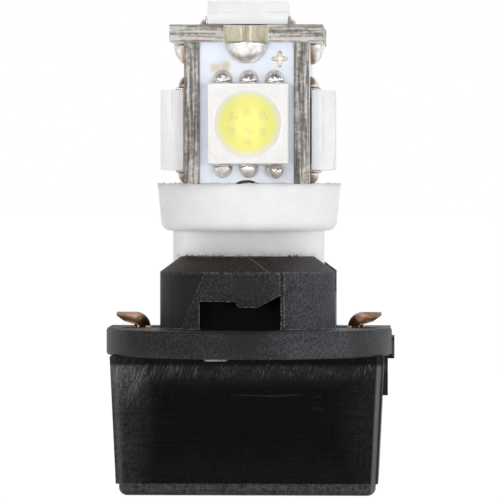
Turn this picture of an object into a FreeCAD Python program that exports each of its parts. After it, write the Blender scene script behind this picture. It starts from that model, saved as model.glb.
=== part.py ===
import FreeCAD, Part
import math
import os
import re
import Sketcher

# A wedge base bulb with five square LEDs on a box of small boards, pushed into its twist-lock panel holder.
# The frame: X across the wide grip, -Y towards the front, Z up, with the origin in the middle of the rest face.

DRIVING = {
    # Holder: the grip bar and its rounded foot
    "grip_wide_top": 16.9,
    "grip_wide_low": 16.15,
    "grip_deep": 7.5,
    "grip_tall": 8.6,
    "grip_edge_round": 0.4,
    "foot_tall": 0.75,
    "foot_inset": 0.15,
    "foot_round": 0.5,
    "foot_corner": 0.6,
    # Holder: the flange that meets the panel
    "flange_radius": 8.9,
    "flange_thick": 1.7,
    "flange_side": 8.8,
    "flange_back_radius": 7.0,
    "flange_edge_round": 0.2,
    "tab_reach": 0.25,
    "tab_tall": 1.4,
    "tab_long": 2.4,
    "tab_drop": 0.55,
    "rib_proud": 0.2,
    "rib_tall": 2.5,
    "rib_wide": 2.2,
    # Holder: the neck, its twist-lock lugs and its slots
    "neck_wall": 0.59,
    "neck_flat": 4.9,
    "neck_tall": 4.45,
    "neck_chamfer_wide": 1.16,
    "neck_chamfer_tall": 0.95,
    "side_slot_rise": 2.1,
    "lug_proud": 0.36,
    "lug_tall": 3.5,
    "lug_low_left": 4.0,
    "lug_top_left": 2.46,
    "lug_right": 2.1,
    "lock_left": 2.8,
    "lock_tall": 1.72,
    "lock_deep": 2.4,
    "catch_left": 0.4,
    "catch_right": 0.75,
    "catch_drop": 0.34,
    "catch_ramp": 0.72,
    "catch_slope": 0.2,
    "lock_past": 0.05,
    "shoulder_proud": 0.14,
    "shoulder_gap": 0.25,
    "shoulder_end": 0.08,
    "shoulder_root": 0.4,
    # Holder: the cavities for the plug, the blade and the contacts
    "pocket_deep": 3.25,
    "fit_gap": 0.15,
    "seat_gap": 0.05,
    "cavity_floor": 2.2,
    "cavity_end_gap": 0.2,
    "cavity_side_gap": 0.13,
    "well_floor": 5.8,
    "well_play": 0.65,
    # Contact springs, bent from copper strip
    "strip_thick": 0.25,
    "strip_wide": 2.0,
    "web_gap": 0.35,
    "riser_gap": 0.74,
    "arm_gap": 0.1,
    "arm_past": 0.05,
    "arm_rise": 1.0,
    "arm_tall": 4.0,
    "petal_rise": 0.95,
    "petal_reach": 2.1,
    "petal_dish": 0.75,
    "petal_wide": 2.3,
    "petal_rim": 0.9,
    "petal_tip": 0.6,
    "petal_belly": 0.2,
    "petal_root": 0.1,
    # Bulb base: plug, blade and collar
    "plug_wide": 9.34,
    "plug_deep": 4.6,
    "plug_corner": 1.2,
    "blade_inset": 0.25,
    "blade_thick": 2.15,
    "tip_gap": 1.4,
    "blade_nose": 0.6,
    "plug_show": 1.55,
    "collar_tall": 2.9,
    "collar_top_radius": 5.72,
    "collar_low_radius": 5.48,
    "collar_round": 0.62,
    # Lead wires, folded up the blade
    "wire_thick": 0.5,
    "wire_apart": 0.08,
    "wire_stand": 0.045,
    "wire_end": 8.0,
    "wire_bend_drop": 0.05,
    "wire_stub": 0.6,
    "wire_play": 0.02,
    "wire_solder_tall": 0.45,
    "wire_solder_spread": 0.3,
    "wire_solder_neck": 0.05,
    # Board tower
    "tower_half": 3.85,
    "board_thick": 0.93,
    "board_play": 0.02,
    "front_inset": 0.3,
    "top_overhang": 0.85,
    "top_board_thick": 1.05,
    "top_hole_radius": 1.38,
    "low_hole_radius": 1.3,
    "low_hole_drop": 1.06,
    # Square LEDs, the same five times
    "led_wide": 5.0,
    "led_tall": 1.42,
    "led_parting": 0.5,
    "led_lift": 0.12,
    "led_draft": 4.0,
    "window_top": 4.1,
    "window_low": 3.5,
    "window_deep": 0.75,
    "lens_sink": 0.05,
    "mark_leg": 0.85,
    "mark_deep": 0.1,
    "lead_pitch": 1.6,
    "lead_wide": 0.9,
    "lead_thick": 0.12,
    "lead_foot": 0.5,
    "pad_solder_long": 0.7,
    "top_solder_long": 0.38,
    "pad_solder_half": 0.6,
    "pad_solder_tall": 0.5,
    "front_led_shift": 0.12,
    "front_foot_gap": 0.38,
    "side_foot_gap": 0.03,
    "led_head_gap": 0.42,
    # Solder bridges under the top board, and fillets round the base board
    "bridge_half": 1.3,
    "bridge_drop": 1.28,
    "seam_half": 0.8,
    "seam_reach": 0.45,
    "seam_tall": 0.4,
    # Chip resistors on the inner faces
    "chip_long": 2.0,
    "chip_wide": 1.25,
    "chip_tall": 0.5,
    "chip_cap": 0.35,
    "chip_cap_proud": 0.03,
    "chip_rise": 4.4,
}

# Levels and widths that follow from the driving sizes; OVERCUT is how far a cut runs on past what it cuts,
# and ROOTED how far an added form reaches into what carries it
FLANGE_TOP = "(grip_tall + flange_thick)"
NECK_TOP = f"({FLANGE_TOP} + neck_tall)"
LUG_TOP = f"({FLANGE_TOP} + lug_tall)"
NECK_HALF = "(plug_wide / 2 + fit_gap + neck_wall)"
NECK_RADIUS = f"sqrt({NECK_HALF}^2 + (neck_flat / 2)^2)"
LUG_RADIUS = f"({NECK_RADIUS} + lug_proud)"
POCKET_FLOOR = f"({NECK_TOP} - pocket_deep)"
PLUG_LOW = f"({POCKET_FLOOR} + seat_gap)"
COLLAR_LOW = f"({NECK_TOP} + plug_show)"
COLLAR_TOP = f"({COLLAR_LOW} + collar_tall)"
BLADE_HALF = "(plug_wide / 2 - blade_inset)"
BLADE_TIP = "(cavity_floor + tip_gap)"
LED_REACH = "(led_wide / 2 + lead_thick + pad_solder_long)"
FRONT_LED_RISE = f"(front_foot_gap + {LED_REACH})"
SIDE_LED_RISE = f"(side_foot_gap + {LED_REACH})"
TOWER_TOP = f"({COLLAR_TOP} + {FRONT_LED_RISE} + {LED_REACH} + led_head_gap + bridge_drop)"
TOP_HALF = "(tower_half + top_overhang)"
SIDE_INNER = "(tower_half - board_thick)"
FRONT_FACE = "(tower_half - front_inset)"
FRONT_INNER = f"({FRONT_FACE} - board_thick)"
LED_TOP = "(led_lift + led_tall)"
WIRE_RADIUS = "(wire_thick / 2)"
WIRE_BORE = f"({WIRE_RADIUS} + wire_play)"
WIRE_FOLD = "(blade_thick / 2 + wire_stand)"
WIRE_PLACE = f"({SIDE_INNER} - seam_reach - wire_apart - wire_solder_spread - {WIRE_BORE})"
WIRE_BEND_LEVEL = f"({BLADE_TIP} - wire_bend_drop)"
WEB_INNER = f"({BLADE_HALF} + web_gap)"
WEB_OUTER = f"({WEB_INNER} + strip_thick)"
ARM_INNER = f"({WIRE_FOLD} + {WIRE_RADIUS} + arm_gap)"
ARM_OUTER = f"({ARM_INNER} + strip_thick)"
ARM_END = f"({WIRE_PLACE} - {WIRE_RADIUS} - arm_past)"
ARM_LOW = "(cavity_floor + arm_rise)"
RISER_INNER = f"({NECK_HALF} + riser_gap)"
RISER_OUTER = f"({RISER_INNER} + strip_thick)"
CAVITY_HALF_WIDE = f"({WEB_OUTER} + cavity_end_gap)"
CAVITY_HALF_DEEP = f"({ARM_OUTER} + cavity_side_gap)"
OVERCUT = "1"
ROOTED = "0.5"

doc = FreeCAD.newDocument("wedge_bulb_in_holder")
sheet = doc.addObject("Spreadsheet::Sheet", "sizes")
for row, (alias, number) in enumerate(DRIVING.items(), start=1):
    sheet.set(f"A{row}", alias)
    sheet.set(f"B{row}", str(number))
    sheet.setAlias(f"B{row}", alias)
doc.recompute()

nodes = []


def in_sheet(text):
    """Points each size in a formula at its cell."""
    return re.sub(r"[a-z]\w*", lambda m: "sizes." + m.group() if m.group() in DRIVING else m.group(), text)


def value(text):
    return float(sheet.evalExpression(in_sheet(text)))


def bind(thing, prop, text):
    thing.setExpression(prop, in_sheet(text))


def new_body(name):
    body = doc.addObject("PartDesign::Body", name)
    body.Label = name
    nodes.append(body)
    return body


def origin_part(body, role):
    return next(part for part in body.Origin.OriginFeatures if part.Role == role)


def new_sketch(body, name, role, level="0", rise="0"):
    """A sketch on one of the body's own origin planes, lifted along the plane's normal and up in the plane."""
    sketch = body.newObject("Sketcher::SketchObject", f"{body.Name}_{name}")
    sketch.AttachmentSupport = (origin_part(body, role), [""])
    sketch.MapMode = "FlatFace"
    bind(sketch, "AttachmentOffset.Base.z", level)
    bind(sketch, "AttachmentOffset.Base.y", rise)
    return sketch


def pin(sketch, geometry, point, across, up):
    """Ties one point of a sketch to formulas for its two coordinates."""
    for kind, text in (("DistanceX", across), ("DistanceY", up)):
        index = sketch.addConstraint(Sketcher.Constraint(kind, -1, 1, geometry, point, value(text)))
        bind(sketch, f"Constraints[{index}]", text)


def draw(sketch, corners, closed=True):
    """Draws an outline. A corner is (across, up), or (across, up, radius, side) where an arc leaves it:
    side is 1 where the arc swells to the left of the way it runs, -1 where it swells to the right."""
    first = sketch.GeometryCount
    count = len(corners)
    spans = count if closed else count - 1
    places = [FreeCAD.Vector(value(corner[0]), value(corner[1]), 0) for corner in corners]
    for i in range(spans):
        here, there = places[i], places[(i + 1) % count]
        if len(corners[i]) == 2:
            sketch.addGeometry(Part.LineSegment(here, there), False)
            continue
        radius = value(corners[i][2])
        half = (there - here).Length / 2
        rise = radius - math.sqrt(max(radius * radius - half * half, 0.0))
        left = FreeCAD.Vector(here.y - there.y, there.x - here.x, 0).normalize()
        middle = (here + there) * 0.5 + left * (rise * corners[i][3])
        anticlockwise = corners[i][3] < 0
        arc = Part.Arc(here, middle, there) if anticlockwise else Part.Arc(there, middle, here)
        sketch.addGeometry(arc, False)
    ends = [(2, 1) if len(corner) > 2 and corner[3] > 0 else (1, 2) for corner in corners[:spans]]
    for i in range(spans):
        if closed or i + 1 < spans:
            after = (i + 1) % spans
            joint = (first + i, ends[i][1], first + after, ends[after][0])
            sketch.addConstraint(Sketcher.Constraint("Coincident", *joint))
    for i in range(spans):
        pin(sketch, first + i, ends[i][0], corners[i][0], corners[i][1])
        if len(corners[i]) > 2:
            index = sketch.addConstraint(Sketcher.Constraint("Radius", first + i, value(corners[i][2])))
            bind(sketch, f"Constraints[{index}]", corners[i][2])
    if not closed:
        pin(sketch, first + spans - 1, ends[-1][1], corners[-1][0], corners[-1][1])


def draw_circle(sketch, across, up, radius):
    centre = FreeCAD.Vector(value(across), value(up), 0)
    index = sketch.addGeometry(Part.Circle(centre, FreeCAD.Vector(0, 0, 1), value(radius)), False)
    pin(sketch, index, 3, across, up)
    size = sketch.addConstraint(Sketcher.Constraint("Radius", index, value(radius)))
    bind(sketch, f"Constraints[{size}]", radius)


def box_corners(left, low, right, high):
    return [(left, low), (right, low), (right, high), (left, high)]


def rounded_corners(half_wide, half_deep, corner):
    """A rectangle about the middle with round corners, anticlockwise."""
    inner_x, inner_y = f"({half_wide} - {corner})", f"({half_deep} - {corner})"
    return [
        (f"-{inner_x}", f"-{half_deep}"),
        (inner_x, f"-{half_deep}", corner, -1),
        (half_wide, f"-{inner_y}"),
        (half_wide, inner_y, corner, -1),
        (inner_x, half_deep),
        (f"-{inner_x}", half_deep, corner, -1),
        (f"-{half_wide}", inner_y),
        (f"-{half_wide}", f"-{inner_y}", corner, -1),
    ]


def pad(body, sketch, length, symmetric=False, reverse=False, taper=None):
    feature = body.newObject("PartDesign::Pad", f"{sketch.Name}_pad")
    feature.Profile = sketch
    feature.SideType = "Symmetric" if symmetric else "One side"
    feature.Reversed = reverse
    bind(feature, "Length", length)
    if taper:
        bind(feature, "TaperAngle", taper)
    sketch.Visibility = False
    return feature


def pocket(body, sketch, length, symmetric=False, reverse=False):
    """Cuts against the sketch's normal, or along it when reversed."""
    feature = body.newObject("PartDesign::Pocket", f"{sketch.Name}_pocket")
    feature.Profile = sketch
    feature.SideType = "Symmetric" if symmetric else "One side"
    feature.Reversed = reverse
    bind(feature, "Length", length)
    return feature


def revolve(body, sketch, kind="PartDesign::Revolution", axis="V_Axis", angle=360):
    """Turns a section about one of its sketch's axes."""
    feature = body.newObject(kind, f"{sketch.Name}_turned")
    feature.Profile = sketch
    feature.ReferenceAxis = (sketch, [axis])
    feature.Angle = angle
    return feature


def turned_pair(body, feature):
    """Repeats a feature half a turn round the upright axis."""
    pattern = body.newObject("PartDesign::PolarPattern", f"{feature.Name}_pair")
    pattern.Originals = [feature]
    pattern.Axis = (origin_part(body, "Z_Axis"), [""])
    pattern.Angle = 360
    pattern.Occurrences = 2
    body.Tip = pattern
    return pattern


def mirrored(body, feature, role):
    mirror = body.newObject("PartDesign::Mirrored", f"{feature.Name}_mirrored")
    mirror.Originals = [feature]
    mirror.MirrorPlane = (origin_part(body, role), [""])
    body.Tip = mirror
    return mirror


def edges_of(feature, wanted):
    """Names of the edges whose ends and middle all pass a test."""
    doc.recompute()
    names = []
    for index, edge in enumerate(feature.Shape.Edges, start=1):
        middle = edge.valueAt((edge.FirstParameter + edge.LastParameter) / 2)
        points = [vertex.Point for vertex in edge.Vertexes] + [middle]
        if all(wanted(point) for point in points):
            names.append(f"Edge{index}")
    return names


def fillet(body, feature, wanted, radius):
    rounded = body.newObject("PartDesign::Fillet", f"{feature.Name}_round")
    rounded.Base = (feature, edges_of(feature, wanted))
    bind(rounded, "Radius", radius)
    return rounded


def near(a, b):
    return abs(a - b) < 1e-4


# The holder: one moulding with a grip bar, a flange and a neck
def make_holder():
    body = new_body("holder_housing")
    upright, plan, side = "XZ_Plane", "XY_Plane", "YZ_Plane"

    # The grip bar, narrower towards its foot, and the rounded foot below the parting step
    grip = new_sketch(body, "grip", upright)
    draw(grip, [
        ("-grip_wide_low / 2", "foot_tall"),
        ("grip_wide_low / 2", "foot_tall"),
        ("grip_wide_top / 2", "grip_tall"),
        ("-grip_wide_top / 2", "grip_tall"),
    ])
    bar = pad(body, grip, "grip_deep", symmetric=True)
    doc.recompute()
    front = -value("grip_deep / 2")
    narrow = min(value("grip_wide_low / 2"), value("grip_wide_top / 2"))

    def right_front_edge(point):
        return near(point.y, front) and point.x > narrow - 1e-4

    bar = fillet(body, bar, right_front_edge, "grip_edge_round")
    foot = new_sketch(body, "foot", plan)
    draw(foot, rounded_corners("(grip_wide_low / 2 - foot_inset)", "(grip_deep / 2 - foot_inset)", "foot_corner"))
    foot_pad = pad(body, foot, "foot_tall")
    foot_pad = fillet(body, foot_pad, lambda point: near(point.z, 0), "foot_round")

    # The flange: a round-edged disc cut straight behind, with square ears and a lobe round the back of the neck
    disc = new_sketch(body, "flange", upright)
    shoulder_out = "(flange_radius - flange_edge_round)"
    draw(disc, [
        ("0", "grip_tall"),
        (shoulder_out, "grip_tall", "flange_edge_round", -1),
        ("flange_radius", "(grip_tall + flange_edge_round)"),
        ("flange_radius", f"({FLANGE_TOP} - flange_edge_round)", "flange_edge_round", -1),
        (shoulder_out, FLANGE_TOP),
        ("0", FLANGE_TOP),
    ])
    revolve(body, disc)
    back = "(grip_deep / 2)"
    behind = new_sketch(body, "flange_back", plan, "grip_tall")
    beyond_disc = f"(flange_radius + {OVERCUT})"
    draw(behind, box_corners(f"-{beyond_disc}", back, beyond_disc, beyond_disc))
    pocket(body, behind, "flange_thick", reverse=True)
    ears = new_sketch(body, "flange_ears", plan, "grip_tall")
    draw(ears, box_corners("-flange_side", "0", "flange_side", back))
    pad(body, ears, "flange_thick")
    lobe = new_sketch(body, "flange_lobe", plan, "grip_tall")
    draw_circle(lobe, "0", "0", "flange_back_radius")
    pad(body, lobe, "flange_thick")

    # A ring at the lugs' radius, cut back to leave a lug in front and one behind
    ring = new_sketch(body, "lock_ring", upright)
    draw(ring, box_corners("0", FLANGE_TOP, LUG_RADIUS, LUG_TOP))
    revolve(body, ring)
    trim = new_sketch(body, "lug_trim", upright)
    beyond = f"({LUG_RADIUS} + {OVERCUT})"
    draw(trim, [
        (f"-{beyond}", FLANGE_TOP),
        ("-lug_low_left", FLANGE_TOP),
        ("-lug_top_left", LUG_TOP),
        (f"-{beyond}", LUG_TOP),
    ])
    draw(trim, box_corners("lug_right", FLANGE_TOP, beyond, LUG_TOP))
    turned_pair(body, pocket(body, trim, beyond, reverse=True))

    # The neck, with its broad lead-in chamfer and a flat on each side
    neck = new_sketch(body, "neck", upright)
    draw(neck, [
        ("0", "grip_tall"),
        (NECK_RADIUS, "grip_tall"),
        (NECK_RADIUS, f"({NECK_TOP} - neck_chamfer_tall)"),
        (f"({NECK_RADIUS} - neck_chamfer_wide)", NECK_TOP),
        ("0", NECK_TOP),
    ])
    revolve(body, neck)
    flat = new_sketch(body, "neck_flat", upright)
    draw(flat, box_corners(NECK_HALF, FLANGE_TOP, beyond, f"({NECK_TOP} + {OVERCUT})"))
    turned_pair(body, pocket(body, flat, "neck_flat", symmetric=True))

    # The raised shoulder beside each lug
    shoulder = new_sketch(body, "shoulder", plan, FLANGE_TOP)
    outer = f"({NECK_RADIUS} + shoulder_proud)"
    inner = f"({NECK_RADIUS} - shoulder_root)"
    left, right = "(lug_right + shoulder_gap)", f"({NECK_HALF} - shoulder_end)"
    draw(shoulder, [
        (left, f"-sqrt({outer}^2 - {left}^2)", outer, -1),
        (right, f"-sqrt({outer}^2 - {right}^2)"),
        (right, f"-sqrt({inner}^2 - {right}^2)", inner, 1),
        (left, f"-sqrt({inner}^2 - {left}^2)"),
    ])
    turned_pair(body, pad(body, shoulder, "(neck_tall - neck_chamfer_tall)"))

    # A moulded tab on the flange's right end, and a rib down the grip under it
    tab = new_sketch(body, "tab", upright)
    draw(tab, box_corners(f"flange_side - {ROOTED}", f"({FLANGE_TOP} - tab_drop - tab_tall)",
                          "flange_side + tab_reach", f"({FLANGE_TOP} - tab_drop)"))
    pad(body, tab, "tab_long", reverse=True)
    rib = new_sketch(body, "rib", side, f"grip_wide_low / 2 - {ROOTED}")
    draw(rib, box_corners("-rib_wide / 2", "grip_tall - rib_tall", "rib_wide / 2", "grip_tall"))
    pad(body, rib, f"(grip_wide_top - grip_wide_low) / 2 + {ROOTED} + rib_proud")

    # The pocket for the bulb's plug, and the cavity below it for the blade and the contact arms
    plug = new_sketch(body, "plug", plan, POCKET_FLOOR)
    draw(plug, rounded_corners("(plug_wide / 2 + fit_gap)", "(plug_deep / 2 + fit_gap)", "plug_corner"))
    pocket(body, plug, f"(pocket_deep + {OVERCUT})", reverse=True)
    cavity = new_sketch(body, "cavity", plan, "cavity_floor")
    draw(cavity, box_corners(f"-{CAVITY_HALF_WIDE}", f"-{CAVITY_HALF_DEEP}", CAVITY_HALF_WIDE, CAVITY_HALF_DEEP))
    pocket(body, cavity, "grip_tall - cavity_floor", reverse=True)
    throat = new_sketch(body, "throat", plan, POCKET_FLOOR)
    throat_half = "(plug_wide / 2 + fit_gap)"
    draw(throat, box_corners(f"-{throat_half}", f"-{CAVITY_HALF_DEEP}", throat_half, CAVITY_HALF_DEEP))
    pocket(body, throat, f"{POCKET_FLOOR} - grip_tall")
    well = new_sketch(body, "well", upright)
    draw(well, box_corners(WEB_INNER, "well_floor", f"({RISER_OUTER} + well_play)", FLANGE_TOP))
    mirrored(body, pocket(body, well, "strip_wide + 2 * fit_gap", symmetric=True), side)
    slot = new_sketch(body, "side_slot", side)
    slot_floor = f"({FLANGE_TOP} + side_slot_rise)"
    draw(slot, box_corners("-neck_flat / 2", slot_floor, "neck_flat / 2", f"({NECK_TOP} + {OVERCUT})"))
    pocket(body, slot, f"2 * ({LUG_RADIUS} + {OVERCUT})", symmetric=True)

    # The gap under each lug that takes the panel's edge: a stop, a catch and a lead-in ramp
    lock = new_sketch(body, "lock", upright, beyond)
    ceiling = f"({FLANGE_TOP} + lock_tall)"
    draw(lock, [
        ("-lock_left", FLANGE_TOP),
        ("lug_right + lock_past", FLANGE_TOP),
        ("lug_right + lock_past", f"({ceiling} - catch_drop + catch_ramp)"),
        ("catch_right", f"({ceiling} - catch_drop)"),
        ("-catch_left", f"({ceiling} - catch_drop)"),
        ("-catch_left - catch_slope", ceiling),
        ("-lock_left", ceiling),
    ])
    turned_pair(body, pocket(body, lock, f"lock_deep + {OVERCUT}"))


# A contact spring: arms that grip the blade, a bend under the flange and a dished petal above it
def make_contact(name, turn):
    body = new_body(name)
    upright, plan = "XZ_Plane", "XY_Plane"
    bend = f"(({RISER_INNER} - {WEB_OUTER}) / 2)"
    outer_bend = f"({bend} + strip_thick)"
    bend_middle = f"(({RISER_INNER} + {WEB_OUTER}) / 2)"
    bend_level = f"(well_floor + fit_gap + strip_thick + {bend})"
    neck_level = f"({FLANGE_TOP} + petal_root)"
    arm_top = f"({ARM_LOW} + arm_tall)"
    strip = new_sketch(body, "strip", upright)
    draw(strip, [
        (WEB_INNER, arm_top),
        (WEB_INNER, bend_level, outer_bend, -1),
        (bend_middle, f"({bend_level} - {outer_bend})", outer_bend, -1),
        (RISER_OUTER, bend_level),
        (RISER_OUTER, neck_level),
        (RISER_INNER, neck_level),
        (RISER_INNER, bend_level, bend, 1),
        (bend_middle, f"({bend_level} - {bend})", bend, 1),
        (WEB_OUTER, bend_level),
        (WEB_OUTER, arm_top),
    ])
    pad(body, strip, "strip_wide", symmetric=True)
    clip = new_sketch(body, "clip", plan, ARM_LOW)
    draw(clip, [
        (WEB_OUTER, f"-{ARM_OUTER}"),
        (WEB_OUTER, ARM_OUTER),
        (ARM_END, ARM_OUTER),
        (ARM_END, ARM_INNER),
        (WEB_INNER, ARM_INNER),
        (WEB_INNER, f"-{ARM_INNER}"),
        (ARM_END, f"-{ARM_INNER}"),
        (ARM_END, f"-{ARM_OUTER}"),
    ])
    pad(body, clip, "arm_tall")
    # The petal is a dished strip that bends up out of the flange and runs outward, cut to a leaf in front view
    half = "(petal_wide / 2)"
    arch = f"(({half}^2 + petal_dish^2) / (2 * petal_dish))"
    inner_arch = f"({arch} - strip_thick)"
    inner_half = f"({half} - strip_thick * petal_rim)"
    edge = "(petal_rise - petal_dish)"
    inner_edge = f"(petal_rise - {arch} + sqrt({inner_arch}^2 - {inner_half}^2))"
    bend_end = f"({RISER_INNER} + petal_rise)"
    for stage in ("leaf", "root"):
        section = new_sketch(body, f"petal_{stage}", "YZ_Plane", bend_end, rise=FLANGE_TOP)
        draw(section, [
            (f"-{half}", edge, arch, 1),
            (half, edge),
            (inner_half, inner_edge, inner_arch, -1),
            (f"-{inner_half}", inner_edge),
        ])
        if stage == "root":
            revolve(body, section, axis="H_Axis", angle=90).Reversed = True
        else:
            pad(body, section, "(petal_reach - petal_rise)")
    leaf = new_sketch(body, "leaf_trim", upright)
    crest = f"({FLANGE_TOP} + petal_rise)"
    past_tip = f"({RISER_INNER} + petal_reach + petal_root)"
    draw(leaf, [
        (bend_end, f"({FLANGE_TOP} + {edge})"),
        (f"(({bend_end} + {past_tip}) / 2)", f"({FLANGE_TOP} + ({edge} + petal_rise) / 2 - petal_belly)"),
        (past_tip, f"({crest} - strip_thick * petal_tip)"),
        (past_tip, FLANGE_TOP),
        (bend_end, FLANGE_TOP),
    ])
    pocket(body, leaf, "2 * petal_wide", symmetric=True)
    body.Placement = FreeCAD.Placement(FreeCAD.Vector(0, 0, 0), FreeCAD.Rotation(FreeCAD.Vector(0, 0, 1), turn))


# The bulb's base: collar, plug and blade in one moulding
def make_bulb_base():
    body = new_body("bulb_base")
    upright, plan = "XZ_Plane", "XY_Plane"
    plug = new_sketch(body, "plug", plan, PLUG_LOW)
    draw(plug, rounded_corners("(plug_wide / 2)", "(plug_deep / 2)", "(plug_corner - fit_gap)"))
    pad(body, plug, f"({COLLAR_LOW} + {ROOTED} - {PLUG_LOW})")
    collar = new_sketch(body, "collar", upright)
    draw(collar, [
        ("0", COLLAR_LOW),
        ("(collar_low_radius - collar_round)", COLLAR_LOW, "collar_round", -1),
        ("collar_low_radius", f"({COLLAR_LOW} + collar_round)"),
        ("collar_top_radius", COLLAR_TOP),
        ("0", COLLAR_TOP),
    ])
    revolve(body, collar)
    blade = new_sketch(body, "blade", "YZ_Plane")
    draw(blade, [
        ("-(blade_thick / 2 - blade_nose / 2)", BLADE_TIP),
        ("(blade_thick / 2 - blade_nose / 2)", BLADE_TIP),
        ("blade_thick / 2", f"({BLADE_TIP} + blade_nose)"),
        ("blade_thick / 2", f"({PLUG_LOW} + {ROOTED})"),
        ("-blade_thick / 2", f"({PLUG_LOW} + {ROOTED})"),
        ("-blade_thick / 2", f"({BLADE_TIP} + blade_nose)"),
    ])
    pad(body, blade, f"2 * {BLADE_HALF}", symmetric=True)
    bore = new_sketch(body, "wire_bores", plan)
    draw_circle(bore, WIRE_PLACE, "0", WIRE_BORE)
    draw_circle(bore, f"-{WIRE_PLACE}", "0", WIRE_BORE)
    pocket(body, bore, f"({COLLAR_TOP} + {OVERCUT})", reverse=True)
    # Grooves that hold the folded wire ends, the left one in front and the right one behind
    groove = new_sketch(body, "wire_grooves", plan)
    draw_circle(groove, f"-{WIRE_PLACE}", f"-{WIRE_FOLD}", WIRE_BORE)
    draw_circle(groove, WIRE_PLACE, WIRE_FOLD, WIRE_BORE)
    pocket(body, groove, "(wire_end + fit_gap)", reverse=True)


# A lead wire: down through the blade, round its tip and up one face
def make_lead_wire(name, side, face):
    body = new_body(name)
    path = new_sketch(body, "path", "YZ_Plane", f"({side} * {WIRE_PLACE})")
    top = f"({COLLAR_TOP} + board_thick + wire_stub)"
    bend = f"({WIRE_FOLD} / 2)"
    draw(path, [
        ("0", top),
        ("0", WIRE_BEND_LEVEL, bend, -face),
        (f"({face} * {bend})", f"({WIRE_BEND_LEVEL} - {bend})", bend, -face),
        (f"({face} * {WIRE_FOLD})", WIRE_BEND_LEVEL),
        (f"({face} * {WIRE_FOLD})", "wire_end"),
    ], closed=False)
    section = new_sketch(body, "section", "XY_Plane", top)
    draw_circle(section, f"({side} * {WIRE_PLACE})", "0", WIRE_RADIUS)
    pipe = body.newObject("PartDesign::AdditivePipe", f"{name}_pipe")
    pipe.Profile = section
    pipe.Spine = path
    pipe.Mode = "Frenet"


# The boards: four stood round a square, one across the top and one across the bottom
def make_board(name, half_wide, low, high, face, scallops):
    """A board stood upright: face is how far its outer face is from the axis."""
    body = new_body(name)
    sheet_outline = new_sketch(body, "outline", "XZ_Plane", f"({face} - board_thick)")
    draw(sheet_outline, box_corners(f"-{half_wide}", low, half_wide, high))
    pad(body, sheet_outline, "board_thick")
    if scallops:
        hole = new_sketch(body, "half_hole", "XZ_Plane", face)
        draw_circle(hole, "0", f"({low} - low_hole_drop)", "low_hole_radius")
        pocket(body, hole, "board_thick")
    return body


def make_boards():
    for name, turn in (("front_board", 0), ("rear_board", 180)):
        board = make_board(name, f"({SIDE_INNER} - board_play)", COLLAR_TOP, TOWER_TOP, FRONT_FACE, True)
        spin(board, turn)
    for name, turn in (("right_board", 90), ("left_board", -90)):
        board = make_board(name, "tower_half", COLLAR_TOP, TOWER_TOP, "tower_half", True)
        spin(board, turn)
    top = new_body("top_board")
    outline = new_sketch(top, "outline", "XY_Plane", TOWER_TOP)
    draw(outline, box_corners(f"-{TOP_HALF}", f"-{TOP_HALF}", TOP_HALF, TOP_HALF))
    pad(top, outline, "top_board_thick")
    holes = new_sketch(top, "half_holes", "XY_Plane", TOWER_TOP)
    for across, up in (("0", f"-{TOP_HALF}"), (TOP_HALF, "0"), ("0", TOP_HALF), (f"-{TOP_HALF}", "0")):
        draw_circle(holes, across, up, "top_hole_radius")
    pocket(top, holes, "top_board_thick", reverse=True)
    base = new_body("base_board")
    floor = new_sketch(base, "outline", "XY_Plane", COLLAR_TOP)
    wide, deep = f"({SIDE_INNER} - board_play)", f"({FRONT_INNER} - board_play)"
    draw(floor, box_corners(f"-{wide}", f"-{deep}", wide, deep))
    pad(base, floor, "board_thick")
    bores = new_sketch(base, "wire_bores", "XY_Plane", COLLAR_TOP)
    for across in (f"-{WIRE_PLACE}", WIRE_PLACE):
        draw_circle(bores, across, "0", WIRE_BORE)
    pocket(base, bores, "board_thick", reverse=True)


def spin(body, turn):
    """Turns a finished body about the upright axis."""
    body.Placement = FreeCAD.Placement(FreeCAD.Vector(0, 0, 0), FreeCAD.Rotation(FreeCAD.Vector(0, 0, 1), turn))


def set_frame(body, normal, up, centre):
    """Stands a body on a surface: its own Z along the surface's normal, its own Y along up."""
    outward, upward = FreeCAD.Vector(*normal), FreeCAD.Vector(*up)
    across = upward.cross(outward)
    body.Placement = FreeCAD.Placement(FreeCAD.Vector(), FreeCAD.Rotation(across, upward, outward, "ZYX"))
    for axis, text in zip("xyz", centre):
        bind(body, f"Placement.Base.{axis}", text)


def on_side(normal, distance, rise):
    """A place on a side's face, as formulas: how far out along the normal, and how high."""
    return (f"({normal[0]}) * {distance}", f"({normal[1]}) * {distance}", rise)


def three_and_mirror(body, feature):
    """Repeats a lead's feature three times along X, and mirrors the row to the other end."""
    pattern = body.newObject("PartDesign::MultiTransform", f"{feature.Name}_rows")
    pattern.Originals = [feature]
    row = body.newObject("PartDesign::LinearPattern", f"{feature.Name}_row")
    row.Direction = (origin_part(body, "X_Axis"), [""])
    bind(row, "Length", "2 * lead_pitch")
    row.Occurrences = 3
    mirror = body.newObject("PartDesign::Mirrored", f"{feature.Name}_other_end")
    mirror.MirrorPlane = (origin_part(body, "XZ_Plane"), [""])
    pattern.Transformations = [row, mirror]
    body.Tip = pattern


def quarter_dome(body, name, offset, radii):
    """A quarter of an ellipsoid, above Z and beyond Y of its centre."""
    dome = body.newObject("PartDesign::AdditiveEllipsoid", f"{body.Name}_{name}")
    dome.AttachmentSupport = (origin_part(body, "XY_Plane"), [""])
    dome.MapMode = "FlatFace"
    for axis, text in zip("xyz", offset):
        bind(dome, f"AttachmentOffset.Base.{axis}", text)
    bind(dome, "Radius2", radii[0])
    bind(dome, "Radius3", radii[1])
    bind(dome, "Radius1", radii[2])
    dome.Angle1 = 0
    dome.Angle3 = 180
    return dome


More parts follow.
